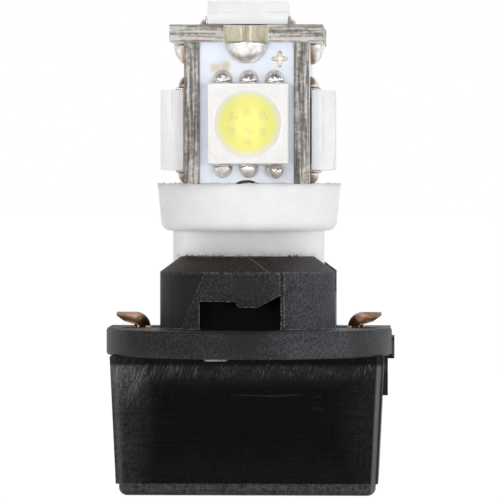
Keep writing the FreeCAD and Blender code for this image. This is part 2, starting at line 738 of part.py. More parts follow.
# One LED: body, filled window, six leads and the solder on its six pads
def make_led_body(name):
    body = new_body(name)
    waist = new_sketch(body, "waist", "XY_Plane", "(led_lift + led_parting)")
    half = "(led_wide / 2)"
    draw(waist, box_corners(f"-{half}", f"-{half}", half, half))
    pad(body, waist, "(led_tall - led_parting)", taper="-led_draft")
    hem = new_sketch(body, "hem", "XY_Plane", "(led_lift + led_parting)")
    draw(hem, box_corners(f"-{half}", f"-{half}", half, half))
    pad(body, hem, "led_parting", reverse=True, taper="-led_draft")
    window = new_sketch(body, "window", "XZ_Plane")
    draw(window, [
        ("0", f"({LED_TOP} - window_deep)"),
        ("window_low / 2", f"({LED_TOP} - window_deep)"),
        ("window_top / 2", LED_TOP),
        ("0", LED_TOP),
    ])
    revolve(body, window, "PartDesign::Groove")
    mark = new_sketch(body, "corner_mark", "XY_Plane", LED_TOP)
    corner = f"({half} + mark_deep)"
    draw(mark, [
        (f"-{corner}", f"-{corner}"),
        (f"-({half} - mark_leg)", f"-{corner}"),
        (f"-({half} - mark_leg)", f"-({half} - mark_deep)"),
        (f"-({half} - mark_deep)", f"-({half} - mark_leg)"),
        (f"-{corner}", f"-({half} - mark_leg)"),
    ])
    pocket(body, mark, "mark_deep")
    return body


def make_led_lens(name):
    body = new_body(name)
    fill = new_sketch(body, "fill", "XZ_Plane")
    full = "(window_deep - lens_sink)"
    rim = f"(window_low / 2 + (window_top - window_low) / 2 * {full} / window_deep)"
    draw(fill, [
        ("0", f"({LED_TOP} - window_deep)"),
        ("window_low / 2", f"({LED_TOP} - window_deep)"),
        (rim, f"({LED_TOP} - lens_sink)"),
        ("0", f"({LED_TOP} - lens_sink)"),
    ])
    revolve(body, fill)
    return body


def make_led_leads(name):
    body = new_body(name)
    section = new_sketch(body, "section", "YZ_Plane", "-lead_pitch")
    face = "(led_wide / 2)"
    outer = f"({face} + lead_thick)"
    rise = "(led_lift + led_parting)"
    draw(section, [
        (f"({face} - lead_foot)", "0"),
        (outer, "0"),
        (outer, rise),
        (face, rise),
        (face, "lead_thick"),
        (f"({face} - lead_foot)", "lead_thick"),
    ])
    three_and_mirror(body, pad(body, section, "lead_wide", symmetric=True))
    return body


def make_led_solder(name):
    body = new_body(name)
    long = "top_solder_long" if name.endswith("top") else "pad_solder_long"
    foot = ("-lead_pitch", "(led_wide / 2 + lead_thick)", "0")
    size = ("pad_solder_half", long, "pad_solder_tall")
    three_and_mirror(body, quarter_dome(body, "blob", foot, size))
    return body


UPRIGHT = (0, 0, 1)
OUTWARD = {"front": (0, -1, 0), "right": (1, 0, 0), "rear": (0, 1, 0), "left": (-1, 0, 0)}
FACES = {"front": FRONT_FACE, "right": "tower_half", "rear": FRONT_FACE, "left": "tower_half"}
INNERS = {"front": FRONT_INNER, "right": SIDE_INNER, "rear": FRONT_INNER, "left": SIDE_INNER}


def make_leds():
    rises = {"front": FRONT_LED_RISE, "rear": FRONT_LED_RISE, "right": SIDE_LED_RISE, "left": SIDE_LED_RISE}
    makers = {"body": make_led_body, "lens": make_led_lens, "leads": make_led_leads, "solder": make_led_solder}
    for kind, make in makers.items():
        for side, normal in OUTWARD.items():
            across, deep, rise = on_side(normal, FACES[side], f"({COLLAR_TOP} + {rises[side]})")
            shift = "front_led_shift" if side == "front" else "0"
            set_frame(make(f"led_{kind}_{side}"), normal, UPRIGHT, (f"{across} + {shift}", deep, rise))
        top_face = ("0", "0", f"({TOWER_TOP} + top_board_thick)")
        set_frame(make(f"led_{kind}_top"), UPRIGHT, (-1, 0, 0), top_face)


def make_solder_joints():
    for side, normal in OUTWARD.items():
        bridge = new_body(f"solder_bridge_{side}")
        quarter_dome(bridge, "drop", ("0", "0", "0"), ("bridge_half", "bridge_drop",
                                                       f"({TOP_HALF} - {FACES[side]})"))
        set_frame(bridge, normal, (0, 0, -1), on_side(normal, FACES[side], TOWER_TOP))
        inward = tuple(-axis for axis in normal)
        seam = new_body(f"base_seam_{side}")
        quarter_dome(seam, "fillet", ("0", "0", "0"), ("seam_half", "seam_tall", "seam_reach"))
        set_frame(seam, inward, UPRIGHT, on_side(normal, INNERS[side], f"({COLLAR_TOP} + board_thick)"))
    for name, side in (("wire_solder_left", -1), ("wire_solder_right", 1)):
        cone = new_body(name)
        section = new_sketch(cone, "section", "XZ_Plane")
        draw(section, [
            (WIRE_BORE, "0"),
            (f"({WIRE_BORE} + wire_solder_spread)", "0"),
            (f"({WIRE_BORE} + wire_solder_neck)", "wire_solder_tall"),
            (WIRE_BORE, "wire_solder_tall"),
        ])
        revolve(cone, section)
        place = (f"{side} * {WIRE_PLACE}", "0", f"({COLLAR_TOP} + board_thick)")
        set_frame(cone, UPRIGHT, (0, 1, 0), place)


def make_chip(name):
    body = new_body(name)
    core = new_sketch(body, "core", "XY_Plane")
    half_wide, half_long = "(chip_wide / 2)", "(chip_long / 2)"
    draw(core, box_corners(f"-{half_wide}", f"-{half_long}", half_wide, half_long))
    pad(body, core, "chip_tall")
    caps = new_sketch(body, "caps", "XY_Plane")
    wide, long = f"({half_wide} + chip_cap_proud)", f"({half_long} + chip_cap_proud)"
    draw(caps, box_corners(f"-{wide}", f"({half_long} - chip_cap)", wide, long))
    draw(caps, box_corners(f"-{wide}", f"-{long}", wide, f"-({half_long} - chip_cap)"))
    pad(body, caps, "(chip_tall + chip_cap_proud)")
    return body


def make_chips():
    for side, normal in OUTWARD.items():
        inward = tuple(-axis for axis in normal)
        chip = make_chip(f"resistor_{side}")
        set_frame(chip, inward, UPRIGHT, on_side(normal, INNERS[side], f"({COLLAR_TOP} + chip_rise)"))
    set_frame(make_chip("resistor_top"), (0, 0, -1), (0, 1, 0), ("0", "0", TOWER_TOP))


def check_and_write():
    doc.recompute()
    for item in doc.Objects:
        if any(word in str(state) for state in item.State for word in ("Invalid", "Error")):
            raise SystemExit(f"{item.Name} failed: {item.State}")
    os.makedirs("parts", exist_ok=True)
    for node in nodes:
        shape = node.Shape
        if shape.isNull() or not shape.isValid() or not shape.Solids:
            raise SystemExit(f"{node.Label} has no valid solid")
        shape.exportStep(f"parts/{node.Label}.step")
        print(f"{node.Label}: {len(shape.Solids)} solids, {shape.Volume:.2f} mm3")


make_holder()
make_contact("contact_spring_right", 0)
make_contact("contact_spring_left", 180)
make_bulb_base()
make_lead_wire("lead_wire_left", -1, -1)
make_lead_wire("lead_wire_right", 1, 1)
make_boards()
make_leds()
make_solder_joints()
make_chips()
check_and_write()
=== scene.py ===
import math
import random

import bmesh
import bpy
from mathutils import Matrix, Vector, noise


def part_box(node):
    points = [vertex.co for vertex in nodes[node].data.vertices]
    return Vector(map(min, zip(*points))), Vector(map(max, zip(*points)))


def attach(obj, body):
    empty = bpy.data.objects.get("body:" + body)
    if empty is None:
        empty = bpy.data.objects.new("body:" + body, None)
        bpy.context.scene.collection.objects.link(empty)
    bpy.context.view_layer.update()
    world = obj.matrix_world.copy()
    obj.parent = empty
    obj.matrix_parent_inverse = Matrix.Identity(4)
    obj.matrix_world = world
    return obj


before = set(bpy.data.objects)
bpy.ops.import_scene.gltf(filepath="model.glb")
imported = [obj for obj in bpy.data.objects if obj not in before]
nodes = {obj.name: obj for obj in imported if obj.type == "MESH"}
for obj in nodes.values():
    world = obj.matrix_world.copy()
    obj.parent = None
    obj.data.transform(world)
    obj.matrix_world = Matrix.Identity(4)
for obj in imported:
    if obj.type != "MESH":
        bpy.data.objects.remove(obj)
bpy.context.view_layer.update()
mm = 0.001
print("frame loaded:", len(nodes), "nodes")


# shader wiring: wherever a number goes in, a socket may go in too

def addNode(tree, kind, wires=None, **settings):
    node = tree.nodes.new("ShaderNode" + kind)
    for key, setting in settings.items():
        setattr(node, key, setting)
    for name, source in (wires or {}).items():
        if isinstance(source, bpy.types.NodeSocket):
            tree.links.new(source, node.inputs[name])
        else:
            node.inputs[name].default_value = source
    return node


# runs one kind of sum along a row of numbers
def maths(tree, how, first, *others):
    result = first
    for other in others:
        result = addNode(tree, "Math", {0: result, 1: other}, operation=how).outputs[0]
    return result


def times(tree, *parts):
    return maths(tree, "MULTIPLY", *parts)


def plus(tree, *parts):
    return maths(tree, "ADD", *parts)


def minus(tree, a, b):
    return maths(tree, "SUBTRACT", a, b)


def largest(tree, *parts):
    return maths(tree, "MAXIMUM", *parts)


def unsigned(tree, source):
    return addNode(tree, "Math", {0: source}, operation="ABSOLUTE").outputs[0]


def blendColours(tree, amount, a, b, how="MIX"):
    mix = addNode(tree, "Mix", {0: amount}, data_type="RGBA", blend_type=how)
    for index, source in ((6, a), (7, b)):
        if isinstance(source, bpy.types.NodeSocket):
            tree.links.new(source, mix.inputs[index])
        else:
            mix.inputs[index].default_value = (*source, 1.0)
    return mix.outputs[2]


# levels or colours at stops between 0 and 1
def ramp(tree, source, stops, smooth=False):
    node = addNode(tree, "ValToRGB", {0: source})
    node.color_ramp.interpolation = "EASE" if smooth else "LINEAR"
    elements = node.color_ramp.elements
    while len(elements) < len(stops):
        elements.new(0.5)
    for element, (place, level) in zip(elements, stops):
        element.position = place
        element.color = (level, level, level, 1.0) if isinstance(level, float) else (*level, 1.0)
    return node.outputs[0]


# object coordinates in millimetres, turned and stretched
def inMillimetres(tree, stretch=(1.0, 1.0, 1.0), turn=(0.0, 0.0, 0.0), shift=(0.0, 0.0, 0.0)):
    place = addNode(tree, "TexCoord").outputs["Object"]
    scale = tuple(s / mm for s in stretch)
    return addNode(tree, "Mapping", {"Vector": place, "Scale": scale, "Rotation": turn, "Location": shift}).outputs[0]


def grain(tree, place, scale, detail=3.0, roughness=0.55, distortion=0.0):
    wires = {"Vector": place, "Scale": scale, "Detail": detail, "Roughness": roughness, "Distortion": distortion}
    return addNode(tree, "TexNoise", wires).outputs[0]


# 0 at the first level and 1 at the second, eased in between; the first may be the higher one
def between(tree, source, none, full):
    wires = {"Value": source, "From Min": none, "From Max": full}
    return addNode(tree, "MapRange", wires, interpolation_type="SMOOTHSTEP").outputs[0]


# a straight slope from start to end over a range, and level outside it
def slope(tree, source, low, high, start, end):
    wires = {"Value": source, "From Min": low, "From Max": high, "To Min": start, "To Max": end}
    return addNode(tree, "MapRange", wires).outputs[0]


def split(tree, vector):
    return addNode(tree, "SeparateXYZ", {0: vector}).outputs


def distanceFrom(tree, place, spot):
    return addNode(tree, "VectorMath", {0: place, 1: tuple(spot)}, operation="DISTANCE").outputs["Value"]


# 1 where the surface faces along an axis of the object, 0 where it runs along it
def facing(tree, axis):
    return unsigned(tree, split(tree, addNode(tree, "TexCoord").outputs["Normal"])[axis])


# 1 on outer and inner edges, from how far a rounded normal leaves the real one
def edgeWearAndHighlight(tree, radius, none, full):
    rounded = addNode(tree, "Bevel", {"Radius": radius * mm}, samples=6).outputs[0]
    flat = addNode(tree, "NewGeometry").outputs["Normal"]
    same = addNode(tree, "VectorMath", {0: rounded, 1: flat}, operation="DOT_PRODUCT").outputs["Value"]
    return between(tree, minus(tree, 1.0, same), none, full)


def bump(tree, height, strength, millimetres):
    return addNode(tree, "Bump", {"Height": height, "Strength": strength, "Distance": millimetres * mm}).outputs[0]


# keywords are sockets of the shader, with _ for a space
def newMaterial(name, **sockets):
    material = bpy.data.materials.new(name)
    material.use_nodes = True
    tree = material.node_tree
    tree.nodes.clear()
    shader = addNode(tree, "BsdfPrincipled")
    for key, setting in sockets.items():
        shader.inputs[key.replace("_", " ")].default_value = setting
    tree.links.new(shader.outputs[0], addNode(tree, "OutputMaterial").inputs[0])
    return material, tree, shader


def wire(tree, source, shader, name):
    tree.links.new(source, shader.inputs[name])


weldGap = 0.002  # mm
sharpAngle = 32  # degrees
sideAxis = {"front": 1, "rear": 1, "left": 0, "right": 0, "top": 2, "base": 2}  # the axis through a side's board


# gives a CAD node its finish, and a small round on its edges
def dress(node, material, roundOff=0.0):
    thing = nodes[node]
    thing.data.materials.clear()
    thing.data.materials.append(material)
    for face in thing.data.polygons:
        face.use_smooth = True
    weld = thing.modifiers.new("weld", "WELD")
    weld.merge_threshold = weldGap * mm
    if roundOff:
        edge = thing.modifiers.new("edge", "BEVEL")
        edge.width = roundOff * mm
        edge.segments = 2
        edge.limit_method = "ANGLE"
        edge.angle_limit = math.radians(sharpAngle)
        edge.harden_normals = True
        edge.use_clamp_overlap = True


# holder housing: one black moulding in two finishes; zones run in mm from where a mark is gone to where it is full

blackMoulding = {
    "smooth": (0.0008, 0.0008, 0.0008), "smoothWorn": (0.0042, 0.0041, 0.0042),
    "matt": (0.0015, 0.0015, 0.0016), "mattWorn": (0.046, 0.045, 0.047),
    "brown": (0.06, 0.045, 0.036), "coolSheen": (0.075, 0.074, 0.088), "scuffAndSheen": (0.09, 0.088, 0.09),
    "scratch": (0.2, 0.2, 0.2), "edgeWearAndHighlight": (0.3, 0.294, 0.3), "cornerHighlight": (0.16, 0.159, 0.165),
    "glint": (0.6, 0.59, 0.58), "grainPerMm": 4.5, "edge": 0.05,
    "gripTop": 8.5, "lockLevels": (10.35, 12.3), "lockAcross": (-2.9, 2.2), "lockDeep": 3.6, "lockRadius": 5.85,
}

flangeAndNeck = {
    "neckLevel": (10.2, 10.4), "browningAcross": (1.0, -3.0), "sheenAcross": (1.0, 3.4), "sheenFade": (5.9, 7.0, 1.0, 0.25),
    "neckRadius": (6.2, 6.05), "neckFoot": (10.3, 10.4), "darkNeck": (-1.5, -3.2), "darkEnd": (-5.6, -6.6),
    "darkReflectionMiddle": -0.3, "darkReflectionAcross": (1.5, 0.5), "darkReflectionLow": (8.7, 9.3), "darkReflectionTop": (10.3, 10.2),
    "crust": (13.55, 13.75), "front": (-2.0, -3.0),
    "scratches": {"lean": 1.1, "spacing": 1.1, "width": 0.006, "seed": 5.3, "cover": 0.56},
    "scratchFrom": (0.3, 14.62), "scratchTo": (1.55, 13.72), "scratchWide": (0.09, 0.02), "scratchEnd": 0.05,
    "edgeWearAndHighlight": (0.14, 0.01, 0.12),
}

gripBar = {
    "leftRub": (-5.2, -7.6), "leftEnd": (-7.4, -7.9), "cornerAcross": (-5.4, -7.2), "cornerUp": (5.6, 7.8),
    "rightRub": (5.0, 8.0), "topRub": (6.4, 8.0), "lip": (0.8, 0.7), "lowRub": (3.6, 1.0),
    "halfLow": 8.04, "taper": 0.048, "bandInner": (0.5, 0.36), "bandOuter": (0.1, 0.24), "bandDeep": (-1.5, -3.0),
    "bandFade": (-8.0, 8.0, 0.25, 0.75),
    "slanted": {"lean": -0.3, "spacing": 12.0, "width": 0.035, "seed": 2.2, "cover": 0.38},
    "level": {"lean": 1.5, "spacing": 1.0, "width": 0.006, "seed": 7.7, "cover": 0.55},
    "underRim": (7.0, 7.8), "slantAcross": (-5.0, -6.6), "slantUp": (5.0, 7.6),
    "arcMiddle": (1.3, 6.18), "arcSag": 0.02, "arcWide": (0.06, 0.01), "arcHalf": (2.4, 1.2), "face": (-3.0, -3.6),
    "edgeWearAndHighlight": (0.1, 0.01, 0.12), "rimShadow": (7.9, 8.2),
    "glintMiddle": -1.9, "glintHalf": (0.8, 0.5), "glintUp": (8.27, 8.33),
}


# thin scratches that lean from the upright by an angle in the front's plane, broken up by a mask
def scratches(tree, lean, spacing, width, seed, cover):
    turned = inMillimetres(tree, turn=(0.0, lean, 0.0), shift=(seed, seed, seed))
    along = addNode(tree, "Mapping", {"Vector": turned, "Scale": (spacing, spacing * 0.3, spacing * 0.06)}).outputs[0]
    field = grain(tree, along, 1.0, detail=0.5)
    line = ramp(tree, unsigned(tree, minus(tree, field, 0.5)), [(0.0, 1.0), (width, 0.0)])
    patch = grain(tree, inMillimetres(tree, shift=(seed * 3, 0.0, seed)), 0.55, detail=1.0)
    return times(tree, line, ramp(tree, patch, [(cover, 0.0), (cover + 0.08, 1.0)]))


# the grained finish of the flange and the neck
def makeMattBlack():
    material, tree, shader = newMaterial("mattBlack", Specular_IOR_Level=0.24)
    look, zone = blackMoulding, flangeAndNeck
    place = inMillimetres(tree)
    across, deep, up = split(tree, place)
    fine = grain(tree, place, 1.7 * look["grainPerMm"], detail=3.0, roughness=0.65)
    broad = grain(tree, place, 0.4, detail=3.0)

    # worn grain, a little stronger on the neck
    speck = ramp(tree, fine, [(0.46, 0.0), (0.6, 1.0)])
    speck = times(tree, speck, plus(tree, 0.85, times(tree, between(tree, up, *zone["neckLevel"]), 0.15)))
    worn = times(tree, speck, ramp(tree, broad, [(0.3, 0.4), (0.7, 1.0)]))
    colour = blendColours(tree, worn, look["matt"], look["mattWorn"])

    # browner towards the left, and a painted bluish highlight on the right, where the cool lamp's sheen falls
    leftBrowning = times(tree, between(tree, across, *zone["browningAcross"]), ramp(tree, broad, [(0.42, 0.0), (0.6, 0.35)]))
    colour = blendColours(tree, times(tree, leftBrowning, speck), colour, look["brown"])
    paintedSheen = times(tree, between(tree, across, *zone["sheenAcross"]), ramp(tree, fine, [(0.36, 0.1), (0.66, 0.85)]),
                 slope(tree, across, *zone["sheenFade"]))
    colour = blendColours(tree, paintedSheen, colour, look["coolSheen"])

    # painted shade: the neck's left, where it turns away from the light beside the lug, the flange's left end, and a
    # painted dark reflection on the flange's middle
    flat = addNode(tree, "CombineXYZ", {"X": across, "Y": deep}).outputs[0]
    radius = addNode(tree, "VectorMath", {0: flat}, operation="LENGTH").outputs["Value"]
    neck = times(tree, between(tree, radius, *zone["neckRadius"]), between(tree, up, *zone["neckFoot"]),
                 between(tree, across, *zone["darkNeck"]))
    offMiddle = unsigned(tree, minus(tree, across, zone["darkReflectionMiddle"]))
    darkReflection = times(tree, between(tree, offMiddle, *zone["darkReflectionAcross"]), between(tree, up, *zone["darkReflectionLow"]),
                  between(tree, up, *zone["darkReflectionTop"]))
    leftEnd = between(tree, across, *zone["darkEnd"])
    dark = largest(tree, neck, times(tree, leftEnd, 0.8), times(tree, darkReflection, 0.85))
    colour = blendColours(tree, times(tree, dark, 0.8), colour, look["matt"])

    # brown crust on the neck's chamfer
    crust = times(tree, between(tree, up, *zone["crust"]), ramp(tree, fine, [(0.4, 0.1), (0.62, 0.6)]))
    colour = blendColours(tree, crust, colour, look["brown"])

    # fine scratches, and a long one across the chamfer
    marks = times(tree, scratches(tree, **zone["scratches"]), 0.12)
    (fromX, fromZ), (toX, toZ) = zone["scratchFrom"], zone["scratchTo"]
    onLine = times(tree, minus(tree, up, fromZ), (toX - fromX) / (toZ - fromZ))
    offLine = unsigned(tree, minus(tree, minus(tree, across, fromX), onLine))
    long = times(tree, between(tree, offLine, *zone["scratchWide"]),
                 between(tree, up, toZ, toZ + zone["scratchEnd"]), between(tree, deep, *zone["front"]), 0.5)
    colour = blendColours(tree, largest(tree, marks, long), colour, look["scratch"])

    # pale edges: partly wear, partly a painted edge highlight
    wornAndLitEdge = times(tree, edgeWearAndHighlight(tree, *zone["edgeWearAndHighlight"]), ramp(tree, fine, [(0.44, 0.0), (0.6, 1.0)]), 0.9)
    colour = blendColours(tree, wornAndLitEdge, colour, look["edgeWearAndHighlight"])
    wire(tree, colour, shader, "Base Color")
    wire(tree, plus(tree, 0.36, times(tree, fine, 0.2)), shader, "Roughness")
    wire(tree, bump(tree, fine, 1.0, 0.06), shader, "Normal")
    return material


# the polished finish of the grip bar: near black in the middle, lighter towards its ends and under the rim, from
# rubbing and from painted reflection
def makeSmoothBlack():
    material, tree, shader = newMaterial("smoothBlack", Specular_IOR_Level=0.05)
    look, zone = blackMoulding, gripBar
    place = inMillimetres(tree)
    across, deep, up = split(tree, place)
    fine = grain(tree, place, look["grainPerMm"], detail=4.0, roughness=0.7)
    drawn = grain(tree, inMillimetres(tree, stretch=(0.5, 0.5, 12.0)), 1.0, detail=4.0, roughness=0.65)
    brushed = grain(tree, inMillimetres(tree, stretch=(9.0, 0.5, 0.6)), 1.0, detail=3.0, roughness=0.65)
    woven = plus(tree, times(tree, drawn, 0.6), times(tree, brushed, 0.4))
    colour = blendColours(tree, ramp(tree, woven, [(0.42, 0.0), (0.62, 1.0)]), look["smooth"], look["smoothWorn"])

    # lighter grey at both ends, under the rim, low down and on the foot's lip: partly rubbing, partly painted
    # reflection; the lip's lighter grey is painted reflection of the floor's light
    corner = times(tree, between(tree, across, *zone["cornerAcross"]), between(tree, up, *zone["cornerUp"]))
    left = plus(tree, times(tree, between(tree, across, *zone["leftRub"]), 0.75),
                times(tree, between(tree, across, *zone["leftEnd"]), 0.7), times(tree, corner, 1.6))
    right = times(tree, between(tree, across, *zone["rightRub"]), 0.35)
    top = times(tree, between(tree, up, *zone["topRub"]), 0.6)
    low = times(tree, between(tree, up, *zone["lowRub"]), 0.13)
    lip = times(tree, between(tree, up, *zone["lip"]), 2.1)
    streaks = ramp(tree, plus(tree, times(tree, woven, 0.4), times(tree, fine, 0.6)), [(0.38, 0.15), (0.6, 1.0)])
    rubbedAndSheen = times(tree, largest(tree, left, right, top, low, lip), streaks, 0.5)
    colour = blendColours(tree, rubbedAndSheen, colour, look["scuffAndSheen"])

    # painted highlight: a pale band just inside each end of the front, where the rounded corners catch the side light,
    # stronger on the right
    half = plus(tree, times(tree, up, zone["taper"]), zone["halfLow"])
    inset = minus(tree, half, unsigned(tree, across))
    cornerHighlight = times(tree, between(tree, inset, *zone["bandInner"]), between(tree, inset, *zone["bandOuter"]),
                 between(tree, deep, *zone["bandDeep"]), slope(tree, across, *zone["bandFade"]))
    colour = blendColours(tree, cornerHighlight, colour, look["cornerHighlight"])

    # slanted scratches at the upper left and under the rim, level ones all over, and one shallow arc
    slantPlace = times(tree, between(tree, across, *zone["slantAcross"]), between(tree, up, *zone["slantUp"]))
    underRim = times(tree, between(tree, up, *zone["underRim"]), 0.7)
    slanted = times(tree, scratches(tree, **zone["slanted"]), largest(tree, slantPlace, underRim))
    level = times(tree, scratches(tree, **zone["level"]), 0.05)
    arcAcross, arcUp = zone["arcMiddle"]
    fromMiddle = minus(tree, across, arcAcross)
    arcLevel = plus(tree, times(tree, fromMiddle, fromMiddle, zone["arcSag"]), arcUp)
    offArc = unsigned(tree, minus(tree, up, arcLevel))
    onFront = between(tree, deep, *zone["face"])
    arc = times(tree, between(tree, offArc, *zone["arcWide"]),
                between(tree, unsigned(tree, fromMiddle), *zone["arcHalf"]), onFront, 0.09)
    colour = blendColours(tree, largest(tree, slanted, level, arc), colour, look["scratch"])

    # pale edges: partly wear, partly a painted edge highlight
    wornAndLitEdge = times(tree, edgeWearAndHighlight(tree, *zone["edgeWearAndHighlight"]), ramp(tree, fine, [(0.4, 0.0), (0.6, 0.35)]))
    colour = blendColours(tree, wornAndLitEdge, colour, look["edgeWearAndHighlight"])

    # painted shadow under the rim, with one painted glint
    rimShadow = times(tree, between(tree, up, *zone["rimShadow"]), 0.85)
    colour = blendColours(tree, rimShadow, colour, look["smooth"])
    offGlint = unsigned(tree, minus(tree, across, zone["glintMiddle"]))
    glint = times(tree, between(tree, offGlint, *zone["glintHalf"]), between(tree, up, *zone["glintUp"]),
                  onFront, ramp(tree, fine, [(0.35, 0.3), (0.55, 1.0)]))
    colour = blendColours(tree, glint, colour, look["glint"])

    wire(tree, colour, shader, "Base Color")
    wire(tree, plus(tree, 0.2, times(tree, drawn, 0.12)), shader, "Roughness")
    height = plus(tree, times(tree, fine, 0.12), times(tree, drawn, 0.2))
    wire(tree, bump(tree, height, 0.4, 0.04), shader, "Normal")
    return material


# painted shade for the inside of the lock windows: the same moulding, darker and duller
def makeShadedRecessBlack():
    look = blackMoulding
    material, tree, shader = newMaterial("shadedRecessBlack", Specular_IOR_Level=0.06, Roughness=0.6)
    fine = grain(tree, inMillimetres(tree), look["grainPerMm"], detail=4.0)
    wire(tree, blendColours(tree, fine, look["smooth"], look["smoothWorn"]), shader, "Base Color")
    return material


# smooth below the flange's underside, and painted shade inside the two lock windows: a darker, duller black than the
# moulding around them
def dressHousing():
    look = blackMoulding
    dress("holder_housing", makeMattBlack(), look["edge"])
    mesh = nodes["holder_housing"].data
    mesh.materials.append(makeSmoothBlack())
    mesh.materials.append(makeShadedRecessBlack())
    matt, smooth, shadedRecess = range(3)
    (low, high), (left, right) = look["lockLevels"], look["lockAcross"]
    for face in mesh.polygons:
        x, y, z = face.center / mm
        atWindow = low < z < high and left < x * math.copysign(1.0, -y) < right
        inLock = atWindow and look["lockDeep"] < abs(y) and math.hypot(x, y) < look["lockRadius"]
        face.material_index = smooth if z < look["gripTop"] else shadedRecess if inLock else matt


# contact springs: bare copper strip

copperStrip = {
    "bright": (0.4, 0.232, 0.142), "dull": (0.16, 0.092, 0.055), "dark": (0.08, 0.045, 0.027), "edge": 0.05,
}


def makeCopper():
    material, tree, shader = newMaterial("copperStrip", Metallic=1.0)
    look = copperStrip
    place = inMillimetres(tree)
    cloud = grain(tree, place, 1.1, detail=5.0, roughness=0.65)
    colour = blendColours(tree, ramp(tree, cloud, [(0.35, 0.0), (0.62, 1.0)]), look["bright"], look["dull"])
    spots = ramp(tree, grain(tree, place, 4.0, detail=2.0), [(0.62, 0.0), (0.75, 0.8)])
    colour = blendColours(tree, spots, colour, look["dark"])
    wire(tree, colour, shader, "Base Color")
    wire(tree, ramp(tree, cloud, [(0.3, 0.24), (0.7, 0.45)]), shader, "Roughness")
    drawn = grain(tree, inMillimetres(tree, stretch=(0.6, 14.0, 0.6)), 1.0, detail=2.0)
    wire(tree, bump(tree, drawn, 0.25, 0.01), shader, "Normal")
    return material


# bulb base: white moulding, with grime in a thin line where the plug meets the holder's rim

whiteMoulding = {
    "clean": (0.9, 0.895, 0.89), "shade": (0.84, 0.832, 0.826), "soil": (0.42, 0.37, 0.32),
    "soilTop": (15.02, 14.82), "soilLow": (14.6, 14.7), "soilHalf": (4.5, 4.3), "edge": 0.08,
    "glowRadius": (1.0, 0.9, 0.8), "glowReach": 2.0,
}


def makeWhiteMoulding():
    material, tree, shader = newMaterial("whiteMoulding", Specular_IOR_Level=0.4, Subsurface_Weight=1.0)
    look = whiteMoulding
    shader.inputs["Subsurface Radius"].default_value = look["glowRadius"]
    shader.inputs["Subsurface Scale"].default_value = look["glowReach"] * mm
    place = inMillimetres(tree)
    across, _, up = split(tree, place)
    cloud = grain(tree, place, 0.7, detail=4.0)
    colour = blendColours(tree, ramp(tree, cloud, [(0.35, 0.0), (0.75, 1.0)]), look["clean"], look["shade"])
    soiled = times(tree, between(tree, up, *look["soilTop"]), between(tree, up, *look["soilLow"]),
                   ramp(tree, grain(tree, place, 1.5, detail=4.0), [(0.44, 0.0), (0.62, 0.4)]),
                   between(tree, unsigned(tree, across), *look["soilHalf"]))
    colour = blendColours(tree, soiled, colour, look["soil"])
    wire(tree, colour, shader, "Base Color")
    wire(tree, ramp(tree, cloud, [(0.3, 0.3), (0.7, 0.42)]), shader, "Roughness")
    wire(tree, bump(tree, grain(tree, place, 3.0, detail=3.0), 0.12, 0.03), shader, "Normal")
    return material


# boards: white mask on the faces, bare layered fibreglass on the cut edges, with copper foil at both faces

boardLook = {
    "mask": (0.82, 0.87, 0.95), "maskShade": (0.77, 0.815, 0.89),
    "fibre": ((0.08, 0.073, 0.066), (0.25, 0.235, 0.22), (0.66, 0.645, 0.62)), "fibreStops": (0.37, 0.49, 0.6),
    "foil": (0.3, 0.18, 0.11), "foilThick": (0.12, 0.04), "fibreBrown": (0.85, 0.75, 0.63),
    "flux": (0.64, 0.51, 0.31), "fluxSpots": (((-1.85, -3.6, 26.35), 0.62), ((-1.35, -3.6, 26.4), 0.5)),
    "palerTop": 0.06, "edge": 0.03,
}


# paler moves the fibre's stops down, which leaves more of its palest colour
def makeBoard(name, fluxSpots=(), paler=0.0):
    material, tree, shader = newMaterial(f"board_{name}", Specular_IOR_Level=0.45)
    look, axis = boardLook, sideAxis[name]
    place = inMillimetres(tree)
    cloud = grain(tree, place, 0.9, detail=4.0)
    mask = blendColours(tree, ramp(tree, cloud, [(0.4, 0.0), (0.7, 1.0)]), look["mask"], look["maskShade"])
    for centre, radius in fluxSpots:
        ragged = plus(tree, distanceFrom(tree, place, centre), times(tree, grain(tree, place, 1.6, detail=4.0), 0.9))
        share = maths(tree, "DIVIDE", ragged, radius + 0.45)
        mask = blendColours(tree, ramp(tree, share, [(0.5, 0.7), (0.95, 0.0)], smooth=True), mask, look["flux"])

    stretch = [0.28, 0.28, 0.28]
    stretch[axis] = 6.0
    layers = grain(tree, inMillimetres(tree, stretch=tuple(stretch)), 1.0, detail=4.0, roughness=0.6, distortion=0.25)
    fine = grain(tree, place, 3.2, detail=5.0, roughness=0.7)
    mixed = plus(tree, times(tree, layers, 0.62), times(tree, fine, 0.38))
    cut = ramp(tree, mixed, [(stop - paler, shade) for stop, shade in zip(look["fibreStops"], look["fibre"])])
    tanned = ramp(tree, grain(tree, place, 0.8, detail=3.0), [(0.52, 0.0), (0.66, 0.45)])
    cut = blendColours(tree, tanned, cut, look["fibreBrown"], how="MULTIPLY")

    low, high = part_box(f"{name}_board")
    middle, half = (low[axis] + high[axis]) / 2 / mm, (high[axis] - low[axis]) / 2 / mm
    offMiddle = unsigned(tree, minus(tree, split(tree, place)[axis], middle))
    thick, full = look["foilThick"]
    foil = times(tree, between(tree, offMiddle, half - thick, half - full),
                 ramp(tree, grain(tree, place, 1.3, detail=3.0), [(0.42, 0.0), (0.6, 0.8)]))
    cut = blendColours(tree, foil, cut, look["foil"])

    onFace = ramp(tree, facing(tree, axis), [(0.8, 0.0), (0.9, 1.0)])
    wire(tree, blendColours(tree, onFace, cut, mask), shader, "Base Color")
    wire(tree, ramp(tree, onFace, [(0.0, 0.75), (1.0, 0.38)]), shader, "Roughness")
    wire(tree, bump(tree, times(tree, mixed, minus(tree, 1.0, onFace)), 0.7, 0.08), shader, "Normal")
    return material


# LEDs: a white housing and a yellow filling; chips are their places on the filling, across and up

